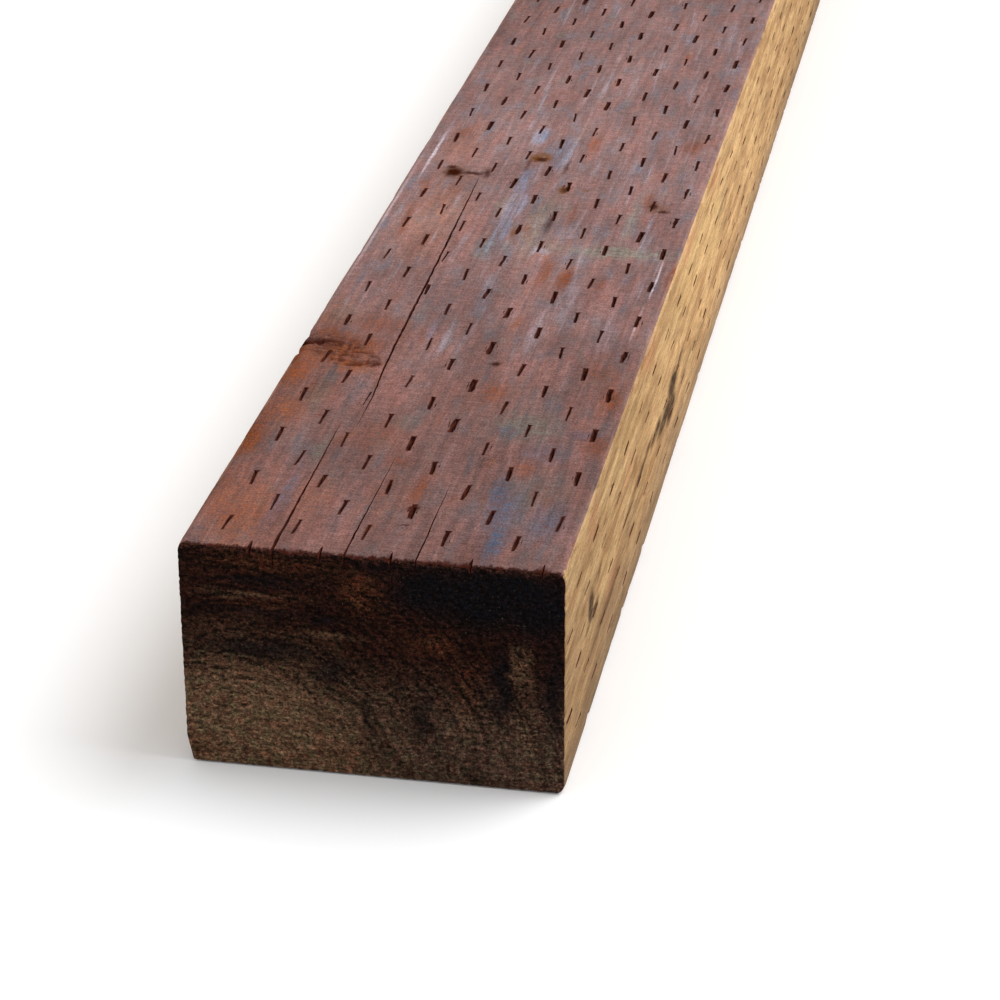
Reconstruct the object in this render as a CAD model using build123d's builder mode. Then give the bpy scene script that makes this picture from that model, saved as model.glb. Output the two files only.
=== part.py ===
"""Incised pressure-treated timber: one sawn length of softwood, lying on a wide face.

X runs across the wide faces, Y along the grain and Z up. The origin is at the middle of
the underside. The end at -Y is the one with the drying checks.
"""
import os

from build123d import *

# Dressed section and length
timber_width = 139.7
timber_height = 88.9
timber_length = 2438.4
eased_radius = 3.2

# One tooth mark: a slit that is blunt at one end and runs out to a point at the other
mark_length = 12.0
mark_width = 1.8
mark_depth = 9.0
blunt_share = 0.35

# Rows of tooth marks, set out by the rings of teeth on the incising rolls
tooth_pitch = 38.1
ring_pitch = 12.7
ring_margin = 9.8
wide_spacer = 3.2
wide_shift = 2.6
wide_spacer_share = 0.6
wide_first = 1.7
narrow_spacer = 6.6
narrow_shift = 1.5
narrow_spacer_share = 0.4
narrow_first = 11.5

# Drying checks that open at the near end: each one's place across the width and its size
end_check_length = 111.0
end_check_width = 1.2
end_check_depth = 16.0
end_check_shares = ((0.25, 1.0), (0.437, 0.76), (0.62, 0.57))

# The long drying check in the top face, closed at both ends
face_check_start = 106.0
face_check_length = 282.0
face_check_width = 1.1
face_check_depth = 14.0
face_check_slant = 6.0
face_check_share = 0.27

# Worn lower corner of the near end, which fades out along the edge
wear_height = 12.5
wear_width = 2.5
wear_length = 90.0

# How far every cutting shape reaches past the face that it cuts
overrun = 0.5

near_end = -timber_length / 2
left_side = -timber_width / 2


def check_section(plane, across, width, depth):
    """Wedge-shaped section of a drying check, open above the top face."""
    flare = (depth + overrun) / depth
    with BuildSketch(plane) as section:
        with BuildLine():
            Polyline(
                (across - width / 2 * flare, timber_height + overrun),
                (across + width / 2 * flare, timber_height + overrun),
                (across, timber_height - depth),
                close=True,
            )
        make_face()
    return section.sketch.face()


def mark_places(face_plane, face_width, spacer, shift, spacer_share, first):
    """Places of one long face's tooth marks: every second ring of teeth is half a pitch ahead."""
    rings = int((face_width - spacer - 2 * ring_margin) // ring_pitch) + 1
    span = (rings - 1) * ring_pitch + spacer
    places = []
    for ring in range(rings):
        across = ring * ring_pitch - span / 2 + shift
        if ring >= round(rings * spacer_share):
            across += spacer
        along = first + tooth_pitch / 2 * (1 - ring % 2)
        while along < timber_length:
            places.append(face_plane.location * Pos(across, near_end + along))
            along += tooth_pitch
    return places


# Drying checks that run in from the near end and close to a point
with BuildPart() as end_checks:
    for place_share, size_share in end_check_shares:
        across = left_side + timber_width * place_share
        opening = check_section(
            Plane.XZ.offset(overrun - near_end),
            across,
            end_check_width * size_share,
            end_check_depth * size_share,
        )
        tip = Vertex(across, near_end + end_check_length * size_share, timber_height + overrun)
        loft(sections=[opening, tip], ruled=True)

# The long check, widest in the middle, which drifts across the grain
with BuildPart() as face_check:
    check_middle = near_end + face_check_start + face_check_length / 2
    check_across = left_side + timber_width * face_check_share
    widest = check_section(
        Plane.XZ.offset(-check_middle), check_across, face_check_width, face_check_depth
    )
    near_tip = Vertex(
        check_across + face_check_slant / 2,
        check_middle - face_check_length / 2,
        timber_height + overrun,
    )
    far_tip = Vertex(
        check_across - face_check_slant / 2,
        check_middle + face_check_length / 2,
        timber_height + overrun,
    )
    loft(sections=[near_tip, widest, far_tip], ruled=True)

# The wear on the lower left corner of the near end
with BuildPart() as corner_wear:
    with BuildSketch(Plane.XZ.offset(overrun - near_end)) as worn_section:
        with BuildLine():
            Polyline(
                (left_side - wear_width, -wear_height),
                (left_side + 2 * wear_width, -wear_height),
                (left_side - wear_width, 2 * wear_height),
                close=True,
            )
        make_face()
    fade_out = Vertex(left_side, near_end + wear_length, 0)
    loft(sections=[worn_section.sketch.face(), fade_out], ruled=True)

# The slit that one tooth presses in, with its deepest point under the place of the mark
with BuildPart() as tooth_mark:
    mark_flare = (mark_depth + overrun) / mark_depth
    blunt_end = mark_length * blunt_share
    with BuildSketch(Plane.XY.offset(overrun)) as mouth:
        with BuildLine():
            Polyline(
                (-mark_width / 2 * mark_flare, blunt_end * mark_flare),
                (mark_width / 2 * mark_flare, blunt_end * mark_flare),
                (0, (blunt_end - mark_length) * mark_flare),
                close=True,
            )
        make_face()
    loft(sections=[mouth.sketch.face(), Vertex(0, 0, -mark_depth)], ruled=True)

# The timber: dressed stock with eased long edges, checked, worn and incised on its four long faces
with BuildPart() as timber:
    with BuildSketch(Plane.XZ.offset(-near_end)):
        with Locations((0, timber_height / 2)):
            Rectangle(timber_width, timber_height)
    extrude(amount=-timber_length)
    fillet(timber.edges().filter_by(Axis.Y), radius=eased_radius)
    for cut in (end_checks, face_check, corner_wear):
        add(cut.part, mode=Mode.SUBTRACT)

    top_face = Plane((0, 0, timber_height), x_dir=(1, 0, 0), z_dir=(0, 0, 1))
    underside = Plane((0, 0, 0), x_dir=(-1, 0, 0), z_dir=(0, 0, -1))
    right_face = Plane((-left_side, 0, timber_height / 2), x_dir=(0, 0, -1), z_dir=(1, 0, 0))
    left_face = Plane((left_side, 0, timber_height / 2), x_dir=(0, 0, 1), z_dir=(-1, 0, 0))
    all_places = []
    for wide_face in (top_face, underside):
        all_places += mark_places(
            wide_face, timber_width, wide_spacer, wide_shift, wide_spacer_share, wide_first
        )
    for narrow_face in (right_face, left_face):
        all_places += mark_places(
            narrow_face, timber_height, narrow_spacer, narrow_shift, narrow_spacer_share, narrow_first
        )
    with Locations(*all_places):
        add(tooth_mark.part, mode=Mode.SUBTRACT, clean=False)

timber.part.label = "timber"
os.makedirs("parts", exist_ok=True)
export_step(timber.part, "parts/timber.step")
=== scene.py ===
"""Looks of the incised, treated timber: torn tooth marks, drying checks, worn edges and stained wood."""

import math
import random

import bpy
import numpy as np
from mathutils import Matrix, Vector, noise
from mathutils.geometry import delaunay_2d_cdt


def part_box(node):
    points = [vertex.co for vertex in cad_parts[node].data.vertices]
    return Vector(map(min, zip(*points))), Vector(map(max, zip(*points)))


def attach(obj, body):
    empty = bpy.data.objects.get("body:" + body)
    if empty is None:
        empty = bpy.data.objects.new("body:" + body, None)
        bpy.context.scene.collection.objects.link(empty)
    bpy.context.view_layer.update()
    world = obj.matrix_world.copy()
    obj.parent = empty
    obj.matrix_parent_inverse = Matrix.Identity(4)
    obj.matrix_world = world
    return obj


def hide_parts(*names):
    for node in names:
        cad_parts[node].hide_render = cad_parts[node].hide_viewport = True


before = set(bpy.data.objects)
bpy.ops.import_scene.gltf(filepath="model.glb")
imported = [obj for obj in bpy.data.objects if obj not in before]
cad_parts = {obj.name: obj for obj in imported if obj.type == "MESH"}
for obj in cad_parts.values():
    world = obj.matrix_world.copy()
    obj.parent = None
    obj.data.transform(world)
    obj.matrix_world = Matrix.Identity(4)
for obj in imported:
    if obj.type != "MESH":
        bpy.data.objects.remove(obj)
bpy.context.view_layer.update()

# Sizes in millimetres. The mesh is turned into metres at the end
MM = 0.001
low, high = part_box("timber")
timber_width = (high[0] - low[0]) / MM
timber_length = (high[1] - low[1]) / MM
timber_height = (high[2] - low[2]) / MM
near_end = low[1] / MM
half_width = timber_width / 2
ease = 3.2
touching = 1e-3
merging = 1e-4

# Tooth marks of the incising rolls: places of the rings of teeth across each face, and of the teeth along it
tooth_pitch = 38.1
wide_rings = (-56.15, -43.45, -30.75, -18.05, -5.35, 7.35, 23.25, 35.95, 48.65, 61.35)
narrow_rings = (-27.2, -14.5, 4.8, 17.5, 30.2)
wide_first = 1.7
narrow_first = 11.5
first_whole_mark = 9.0
mark_back = 1.8
mark_drift = 0.7

# One mark: its half length, lean and crushed margin, and depths of its floor at shares of the half length
mark_half_lengths = (5.5, 6.6)
mark_lean = 0.35
rim_drift = 0.35
margin_width = 0.42
margin_overrun = 0.4
ragged_width = 0.22
plain_roughness = 0.1
ragged_roughness = 0.26
rim_shares = (-1.0, -0.5, 0.15, 0.76, 1.0)
floor_depths = ((-0.66, 2.4), (0.0, 3.6), (0.66, 4.4))
floor_spread = (0.85, 1.1)
# Half widths of a mark from its thin near end to its blunt head, with how many marks in a hundred look so
mark_habits = (
    (32, (0.36, 0.42, 0.46, 0.5, 0.98)),
    (26, (0.4, 0.52, 0.6, 0.66, 0.78)),
    (18, (0.62, 0.76, 0.8, 0.78, 0.9)),
    (10, (0.26, 0.32, 0.38, 0.36, 0.52)),
    (14, (0.4, 0.7, 0.78, 0.56, 0.72)),
)
# How ragged and large the marks of each face are. Some rings of the wide faces are worn
worn_rings = {5: 0.85, 9: 0.6, 4: 0.25, 6: 0.2}
plain_ring = 0.1
wide_raggedness = (0.2, 1.25)
wide_sizes = (0.75, 0.95, 1.0, 1.05, 1.2)
size_spread = (0.9, 1.1)
splits_when_ragged = 3.0
stray_splits = 0.9
narrow_raggedness = (0.0, 0.25)
narrow_sizes = (0.55, 1.0)
narrow_splits = (0, 1, 1, 2)
small_mark = 0.85

# Split fibres beside a mark
split_lengths = (2.2, 5.6)
split_widths = (0.12, 0.28)
split_offsets = (0.75, 1.15)
split_starts = (-0.8, 0.1)
split_mouth = 0.1
split_lean = 0.2
split_rim_shares = (0.55, 0.5)
split_floor = ((0.04, 0.4, 1.2), (0.0, 0.6, 1.4))
mark_side = 0.8

# Drying checks in the top face, as places across from the left edge and along from the near end
end_checks = {
    "long": dict(path=((34.7, 0), (34.9, 22), (34.6, 48), (34.5, 80), (34.2, 111)), width=1.15, depth=9.0),
    "middle": dict(path=((60.7, 0), (60.8, 20), (61.1, 42), (61.3, 66), (61.6, 85)), width=0.75, depth=6.0),
    "short": dict(path=((86.3, 0), (86.5, 18), (86.2, 40), (86.3, 63)), width=0.68, depth=5.0),
}
face_check = dict(
    path=(
        (40.9, 106), (40.9, 120), (40.7, 138), (39.9, 152), (39.0, 168), (38.5, 186),
        (38.2, 206), (37.7, 231), (37.2, 268), (36.5, 305), (35.5, 349), (34.7, 388),
    ),
    width=1.0,
    depth=8.0,
    closed=True,
)
check_step = 3.6
check_waver = 0.1
check_rims = (0.75, 1.25)
check_tip_depth = 0.4
check_least_depth = 0.15
out_of_reach = 1e3
open_taper = 0.6
closed_taper = 0.55

# Marks that the saw cut through at the near end
half_mark_length = 5.9
half_mark_widths = (1.1, 1.9)
half_mark_depths = (2.6, 3.8)

# How near to a check a mark is left out, loses its margin or is kept small, and a plain point is left out
no_mark_reach = 1.25
no_margin_reach = 2.2
small_mark_reach = 4.0
no_point_reach = 1.6
check_lookout = (-5, 0, 5)

# The worn lower left corner of the near end
wear_height = 12.5
wear_width = 2.5
wear_length = 90.0

# Round the girth, the skin is unrolled from the middle of the underside
flat_wide = timber_width - 2 * ease
flat_narrow = timber_height - 2 * ease
turn = math.pi / 2 * ease
runs = (flat_wide / 2, turn, flat_narrow, turn, flat_wide, turn, flat_narrow, turn, flat_wide / 2)
starts = np.concatenate([[0.0], np.cumsum(runs)])
girth = float(starts[-1])
UNDER_LEFT, EDGE_LOW_LEFT, LEFT, EDGE_TOP_LEFT, TOP = range(5)
EDGE_TOP_RIGHT, RIGHT, EDGE_LOW_RIGHT, UNDER_RIGHT = range(5, 9)
flats = {
    UNDER_LEFT: ((0.0, 0.0), (-1, 0), (0, -1)),
    LEFT: ((-half_width, ease), (0, 1), (-1, 0)),
    TOP: ((ease - half_width, timber_height), (1, 0), (0, 1)),
    RIGHT: ((half_width, timber_height - ease), (0, -1), (1, 0)),
    UNDER_RIGHT: ((half_width - ease, 0.0), (-1, 0), (0, -1)),
}
turns = {
    EDGE_LOW_LEFT: ((ease - half_width, ease), 270),
    EDGE_TOP_LEFT: ((ease - half_width, timber_height - ease), 180),
    EDGE_TOP_RIGHT: ((half_width - ease, timber_height - ease), 90),
    EDGE_LOW_RIGHT: ((half_width - ease, ease), 0),
}


def section(places):
    """Run, point and outward direction of the section at places round the girth."""
    run = np.clip(np.searchsorted(starts, places, side="right") - 1, 0, len(runs) - 1)
    on = places - starts[run]
    point = np.zeros((len(places), 2))
    outward = np.zeros((len(places), 2))
    for r, (origin, heading, out) in flats.items():
        here = run == r
        point[here] = np.array(origin) + on[here, None] * np.array(heading)
        outward[here] = out
    for r, (centre, first) in turns.items():
        here = run == r
        angle = math.radians(first) - on[here] / ease
        outward[here] = np.stack([np.cos(angle), np.sin(angle)], 1)
        point[here] = np.array(centre) + ease * outward[here]
    return run, point, outward


def top_place(across):
    return float(starts[TOP]) + across - ease


def right_place(down):
    return float(starts[RIGHT]) + down - ease


def left_place(up):
    return float(starts[LEFT]) + up - ease


def under_place(across):
    """Place round the girth of a point on the underside, measured from the right edge."""
    if across < half_width:
        return float(starts[UNDER_RIGHT]) + across - ease
    return across - half_width


class Skin:
    """The unrolled skin as it is laid out: points, how deep each lies and the edges to keep."""

    def __init__(self):
        self.points = []
        self.depth = []
        self.bruise = []
        self.edges = []
        self.loops = []

    def point(self, place, along, depth=0.0, bruise=0.0):
        self.points.append((place, along))
        self.depth.append(depth)
        self.bruise.append(bruise)
        return len(self.points) - 1

    def slit(self, left, right, floor, bruise=0.0):
        """A slit between two rims with a floor line: each a list of (place, along, depth)."""
        rim_left = [self.point(*p, bruise=bruise) for p in left]
        rim_right = [self.point(*p, bruise=bruise) for p in right]
        line = [self.point(*p, bruise=1.0) for p in floor]
        self.edges += list(zip(line, line[1:]))
        self.edges += [(line[0], rim_left[0]), (line[0], rim_right[0])]
        self.edges += [(line[-1], rim_left[-1]), (line[-1], rim_right[-1])]
        self.loops.append(rim_right + rim_left[::-1])


def check_width_at(check, share):
    if check.get("closed"):
        return check["width"] * max(0.0, math.sin(math.pi * share)) ** closed_taper
    return check["width"] * max(0.0, 1.0 - share) ** open_taper


def smooth_path(path, step):
    """Points along a given path, about a step apart."""
    across = [p[0] for p in path]
    along = [p[1] for p in path]
    count = max(3, round((along[-1] - along[0]) / step))
    at = np.linspace(along[0], along[-1], count + 1)
    return list(zip(np.interp(at, along, across), at))


def check_across(check, along):
    """Place of a check across the top face, or one that nothing is near where it doesn't run."""
    across_at, along_at = zip(*check["path"])
    return float(np.interp(along, along_at, across_at, left=-out_of_reach, right=out_of_reach))


skin = Skin()
draw = random.Random(46)
half_marks = [
    dict(
        path=((half_width + across, 0), (half_width + across, half_mark_length)),
        width=draw.uniform(*half_mark_widths),
        depth=draw.uniform(*half_mark_depths),
    )
    for across in wide_rings[1::2]
]
all_checks = list(end_checks.values()) + [face_check] + half_marks


def drift(reach):
    return draw.uniform(-reach, reach)


def lay_check(check):
    """A wavering drying check in the top face, open at the near end or closed at both."""
    points = smooth_path(check["path"], check_step)
    closed = check.get("closed", False)
    left, right, floor = [], [], []
    last = len(points) - 1
    for i, (across, along) in enumerate(points):
        wide = check_width_at(check, i / last)
        waver = drift(check_waver) if 0 < i < last else 0.0
        middle = top_place(across + waver)
        if i == last or (closed and i == 0):
            floor.append((middle, along, check_tip_depth))
            continue
        left.append((middle - wide / 2 * draw.uniform(*check_rims), along, 0.0))
        right.append((middle + wide / 2 * draw.uniform(*check_rims), along, 0.0))
        floor.append((middle, along, check["depth"] * min(1.0, check_least_depth + wide / check["width"])))
    tip = floor.pop()
    left.append((tip[0], tip[1], 0.0))
    head = floor.pop(0) if closed else None
    rim_left = [skin.point(*p) for p in left]
    rim_right = [skin.point(*p) for p in right]
    line = [skin.point(*p) for p in floor]
    skin.edges += list(zip(line, line[1:]))
    skin.edges.append((line[-1], rim_left[-1]))
    loop = rim_right + rim_left[::-1]
    if closed:
        first = skin.point(head[0], head[1])
        skin.edges.append((first, line[0]))
        loop = loop + [first]
    skin.loops.append(loop)


for check in all_checks:
    lay_check(check)


def split_fibre(middle, along, half, size, ragged):
    """A short crack in the fibres beside a mark."""
    side = draw.choice((-1, 1)) * (mark_side * size + ragged_width * ragged + draw.uniform(*split_offsets))
    start = along + draw.uniform(*split_starts) * half
    long = draw.uniform(*split_lengths)
    thin = draw.uniform(*split_widths)
    at = middle + side
    left_share, right_share = split_rim_shares
    left = [(at, start, 0.0), (at - thin, start + left_share * long, 0.0)]
    right = [(at + split_mouth, start - split_mouth, 0.0), (at + thin, start + right_share * long, 0.0)]
    tip = (at + drift(split_lean), start + long, 0.0)
    floor = [(at + aside, start + share * long, deep) for aside, share, deep in split_floor]
    skin.slit(left + [tip], right, floor)


def tooth_mark(middle, along, size, ragged, splits, margin=True):
    """One tooth's slit: thin at the near end, blunt at the far end, with crushed and split wood by it."""
    half = draw.uniform(*mark_half_lengths)
    lean = drift(mark_lean)
    rough = plain_roughness + ragged_roughness * ragged
    widths = draw.choices([w for _, w in mark_habits], [n for n, _ in mark_habits])[0]
    left, right, margin_left, margin_right = [], [], [], []
    for t, w in zip(rim_shares, widths):
        side = middle + lean * t
        wide = w * size + ragged_width * ragged
        at_left = along + t * half + drift(rim_drift)
        at_right = along + t * half + drift(rim_drift)
        by_left = side - wide + drift(rough)
        by_right = side + wide + drift(rough)
        past = margin_overrun * t if abs(t) == 1 else 0.0
        left.append((by_left, at_left, 0.0))
        right.append((by_right, at_right, 0.0))
        margin_left.append((by_left - margin_width, at_left + past))
        margin_right.append((by_right + margin_width, at_right + past))
    floor = [
        (middle + lean * t, along + t * half, deep * size * draw.uniform(*floor_spread))
        for t, deep in floor_depths
    ]
    skin.slit(left, right, floor, 1.0 if margin else 0.0)
    if margin:
        ring = [skin.point(*p) for p in margin_right + margin_left[::-1]]
        skin.edges += list(zip(ring, ring[1:] + ring[:1]))
    for _ in range(splits):
        split_fibre(middle, along, half, size, ragged)


def near_a_check(across, along, reach):
    return any(
        abs(across - check_across(check, along + ahead)) < reach
        for check in all_checks
        for ahead in check_lookout
    )


def lay_marks(place_of, face_width, rings, on_top, first):
    """All the tooth marks of one long face: every second ring is half a pitch ahead."""
    for ring, across in enumerate(rings):
        along = first + tooth_pitch / 2 * (1 - ring % 2)
        if along < first_whole_mark:
            along += tooth_pitch
        while along < timber_length:
            u = face_width / 2 + across
            v = along - mark_back + drift(mark_drift)
            along += tooth_pitch
            if on_top and near_a_check(u, v, no_mark_reach):
                continue
            if rings is wide_rings:
                ragged = worn_rings.get(ring, plain_ring) * draw.uniform(*wide_raggedness)
                size = draw.choice(wide_sizes) * draw.uniform(*size_spread)
                splits = int(ragged * splits_when_ragged + draw.random() * stray_splits)
            else:
                ragged = draw.uniform(*narrow_raggedness)
                size = draw.uniform(*narrow_sizes)
                splits = draw.choice(narrow_splits)
            if on_top and near_a_check(u, v, small_mark_reach):
                size = min(size, small_mark)
                ragged = 0.0
                splits = 0
            margin = not (on_top and near_a_check(u, v, no_margin_reach))
            tooth_mark(place_of(u), v, size, ragged, splits, margin)


lay_marks(top_place, timber_width, wide_rings, True, wide_first)
lay_marks(right_place, timber_height, narrow_rings, False, narrow_first)
lay_marks(under_place, timber_width, wide_rings, False, wide_first)
lay_marks(left_place, timber_height, narrow_rings, False, narrow_first)

# Evenly spread points of the skin between the marks, finer at the ends
end_zone = 7.0
end_rows = [0.0, 0.9, 2.0, 3.6, 6.0]
row_pitch = tooth_pitch / 4
row_count = round(timber_length / row_pitch) - 1
rows = end_rows + list(np.linspace(row_pitch, timber_length - row_pitch, row_count))
rows = rows + [timber_length - r for r in end_rows[::-1]]
near_gap = 1.25
far_gap = 2.5
ring_offsets = (4.2, 6.35, 8.5)
outer_offset = 4.5
turn_shares = (0.25, 0.5, 0.75, 0.0)
face_margin = 5.0
seam_margin = 1.2
across_drift = 0.5
along_drift = 3.5
end_drift = 0.3


def keep_off_checks(place, along):
    return near_a_check(place - top_place(0), along, no_point_reach)


for along in rows:
    if along < end_zone or along > timber_length - end_zone:
        border = along in (0.0, timber_length)
        count = int(girth / (near_gap if along < end_zone else far_gap))
        for i in range(count + 1):
            place = girth * i / count
            shift = 0.0 if border or i in (0, count) else drift(end_drift)
            if not keep_off_checks(place + shift, along):
                skin.point(place + shift, along)
        continue
    for r in turns:
        for share in turn_shares:
            skin.point(float(starts[r]) + runs[r] * share, along)
        skin.point(float(starts[r + 1]), along)
    for place_of, face_width, rings in (
        (top_place, timber_width, wide_rings),
        (under_place, timber_width, wide_rings),
        (right_place, timber_height, narrow_rings),
        (left_place, timber_height, narrow_rings),
    ):
        columns = [face_width / 2 + a + b for a in rings for b in ring_offsets]
        columns.append(face_width / 2 + rings[0] - outer_offset)
        for u in columns:
            if u > face_width - face_margin:
                continue
            if place_of is under_place and abs(u - half_width) < seam_margin:
                continue
            place = place_of(u + drift(across_drift))
            if place_of is top_place and keep_off_checks(place, along):
                continue
            skin.point(place, along + drift(along_drift))
    skin.point(0.0, along)
    skin.point(girth, along)

# The torn knot at the left edge of the top face has a rough bed of its own, and a hole at the edge
torn_along = 182.0
torn_reach = 34.0
torn_beds = ((7.0, 187.0, 13.0, 8.0), (26.0, 171.0, 14.5, 9.5), (16.0, 180.0, 12.0, 12.0))
torn_hole = (4.0, 187.0, 6.5, 3.4)
torn_hole_depth = 2.4
bed_across, bed_across_gap, bed_columns = 4.0, 1.05, 34
bed_along, bed_along_gap, bed_rows = 163.0, 1.25, 30
bed_drifts = (0.35, 0.4)
bed_mark_gap = 2.6
for i in range(bed_columns):
    for j in range(bed_rows):
        across = bed_across + i * bed_across_gap + drift(bed_drifts[0])
        along = bed_along + j * bed_along_gap + drift(bed_drifts[1])
        mark_gap = min(abs(across - half_width - a) for a in wide_rings)
        if mark_gap < bed_mark_gap or keep_off_checks(top_place(across), along):
            continue
        skin.point(top_place(across), along)

verts, _, faces, kept, _, inside = delaunay_2d_cdt(
    [Vector(p) for p in skin.points], skin.edges, skin.loops, 0, merging, True
)
flat = np.array([(p.x, p.y) for p in verts])
depth = np.zeros(len(flat))
bruise = np.zeros(len(flat))
for i, source in enumerate(kept):
    if source:
        depth[i] = max(skin.depth[k] for k in source)
        bruise[i] = max(skin.bruise[k] for k in source)
run_of, section_point, outward = section(np.clip(flat[:, 0], 0, girth))


def cloud(x, y, z):
    return noise.noise((x, y, z))


def within(across, along, oval):
    """How far a place lies from the middle of an oval, squared, with 1 at its outline."""
    middle_across, middle_along, half_across, half_along = oval
    return ((across - middle_across) / half_across) ** 2 + ((along - middle_along) / half_along) ** 2


# Hollows of the planed faces: depth, width and length
hollows = ((0.15, 45.0, 170.0), (0.05, 9.0, 60.0))
# Wear of the eased edges: depth, length, the level from which it shows, and what sets each edge apart
rubbed_depth, rubbed_length, rubbed_from, rubbed_seed = 0.7, 38.0, 0.05, 7.3
nick_depth, nick_length, nick_from, nick_seed = 0.8, 6.5, 0.42, 3.1
rubbed_width = 60.0
nick_width = 9.0
# Fibres broken out at the ends, each with least depth, added depth and seed
near_fibres = (0.22, 0.55, 0.3)
far_fibres = (0.15, 0.35, 8.3)
fibre_width = 2.1
fibre_fade = 3
# Waves of the saw on the ends: depth, width, height and seed of each, on a least depth
saw_depth = 0.12
saw_waves = ((0.1, 38.0, 2.6, 0.0), (0.07, 3.0, 3.0, 4.0))
# Torn wood: its waves, each with share, width, length and seed, how deep it is and how much is crushed
torn_waves = ((1.0, 2.4, 1.9, 5.5), (0.7, 6.0, 4.0, 9.1))
torn_depth, torn_fade = 1.2, 0.6
torn_crush, torn_crush_from, torn_crush_fade = 2.4, 0.22, 0.4
# Chipped wood: depth, steepness and crushing of a chip, and its least roughness and its waves
chip_depth, chip_steepness, chip_crush = 0.6, 1.6, 3.0
chip_roughness = 0.5
chip_wave_width, chip_wave_length, chip_seed = 1.3, 1.1, 2.6


def uneven(x, z, along):
    """Slight hollows of the planed faces."""
    return max(0.0, sum(deep * cloud(x / wide, along / long, z / wide) for deep, wide, long in hollows))


def worn_edge(r, place, x, z, along):
    """Rubbed stretches and nicks of an eased edge."""
    share = (place - starts[r]) / runs[r]
    bell = math.sin(math.pi * min(1.0, max(0.0, share)))
    worn = max(0.0, cloud(along / rubbed_length + rubbed_seed * r, x / rubbed_width, 0.4) - rubbed_from)
    nick = max(0.0, cloud(along / nick_length, nick_seed * r, z / nick_width) - nick_from)
    return bell * (worn * rubbed_depth + nick * nick_depth)


def broken_fibres(place, from_end, habits):
    """How far the skin is worn back by an end, more at the end itself."""
    least, added, seed = habits
    fade = 1.0 - from_end / end_zone
    return fade ** fibre_fade * (least + added * abs(cloud(place / fibre_width, seed, 1.7)))


# Chips out of the near end's top edge: place across, half width, reach along and depth
end_chips = (
    (26.5, 2.6, 1.6, 1.0), (41.5, 5.0, 2.2, 1.9), (52.0, 2.0, 1.4, 0.8), (64.5, 3.2, 1.6, 1.0),
    (76.8, 2.0, 2.4, 1.1), (91.0, 3.6, 2.0, 1.3), (97.5, 2.4, 3.0, 1.2), (103.0, 3.0, 2.2, 1.5),
    (116.0, 2.2, 1.2, 0.8), (131.5, 3.0, 2.6, 1.4), (13.0, 3.4, 1.4, 0.9), (71.0, 2.4, 1.4, 0.9),
)
for i in range(len(flat)):
    place, along = flat[i]
    x, z = section_point[i]
    r = run_of[i]
    across = place - top_place(0)
    depth[i] += uneven(x, z, along)
    if r in turns:
        depth[i] += worn_edge(r, place, x, z, along)
    if r in (TOP, EDGE_TOP_LEFT):
        reach = min(within(across, along, bed) for bed in torn_beds)
        if reach < 1.0:
            torn = sum(n * abs(cloud(across / a, along / b, seed)) for n, a, b, seed in torn_waves)
            depth[i] += (1.0 - reach) ** torn_fade * torn * torn_depth
            crush = min(1.0, max(0.0, torn - torn_crush_from) * torn_crush)
            bruise[i] = max(bruise[i], (1.0 - reach) ** torn_crush_fade * crush)
        hole = within(across, along, torn_hole)
        if hole < 1.0:
            depth[i] += torn_hole_depth * (1.0 - hole)
            bruise[i] = 1.0
    if along < end_zone:
        depth[i] += broken_fibres(place, along, near_fibres)
    if along < end_zone and r == TOP:
        for middle, half, reach, drop in end_chips:
            gone = 1.0 - within(across, along, (middle, 0.0, half, reach))
            if gone > 0:
                wave = cloud(across / chip_wave_width, along / chip_wave_length, chip_seed)
                torn = chip_roughness + abs(wave)
                depth[i] += chip_depth * drop * min(1.0, chip_steepness * gone) * torn
                bruise[i] = max(bruise[i], min(1.0, chip_crush * gone))
    if along > timber_length - end_zone:
        depth[i] += broken_fibres(place, timber_length - along, far_fibres)

skin_xyz = np.stack(
    [
        section_point[:, 0] - outward[:, 0] * depth,
        flat[:, 1] + near_end,
        section_point[:, 1] - outward[:, 1] * depth,
    ],
    1,
)

# The worn corner: the skin there is cut back to a slanting plane
worn_tip = np.array([-half_width, near_end + wear_length, 0.0])
worn_side = np.array([-half_width, near_end, wear_height])
worn_foot = np.array([wear_width - half_width, near_end, 0.0])
worn_out = np.cross(worn_foot - worn_side, worn_tip - worn_side)
worn_out /= np.linalg.norm(worn_out)
if worn_out[0] > 0:
    worn_out = -worn_out
past = np.maximum(0.0, (skin_xyz - worn_side) @ worn_out)
near_wear = (run_of <= LEFT) & (flat[:, 1] < wear_length)
skin_xyz[near_wear] -= past[near_wear, None] * worn_out

# The two ends of the seam are one line
first_at = {round(v, 3): i for i, (s, v) in enumerate(flat) if s < touching}
same = np.arange(len(flat))
for i, (s, v) in enumerate(flat):
    if s > girth - touching:
        same[i] = first_at[round(v, 3)]

# Faces of the skin, each with its look and its place on the bake's chart
triangles = []
corners = []
looks = []
TOP_LOOK, UNDER_LOOK, RIGHT_LOOK, LEFT_LOOK, SLIT_LOOK, NEAR_LOOK, FAR_LOOK = range(7)
look_ends = [starts[r] + runs[r] / 2 for r in turns]
look_order = (UNDER_LOOK, LEFT_LOOK, TOP_LOOK, RIGHT_LOOK, UNDER_LOOK)
chart_size = 1240.0
chart_margin = 8.0
chart_far_row = 476.0
chart_end_row = 944.0
chart_far_end = 160.0


def skin_chart(s, v, far):
    """Place of a skin point on the bake's chart: the near half below, the far half above it."""
    if far:
        return ((chart_margin + v - timber_length / 2) / chart_size, (chart_far_row + s) / chart_size)
    return ((chart_margin + v) / chart_size, (chart_margin + s) / chart_size)


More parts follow.
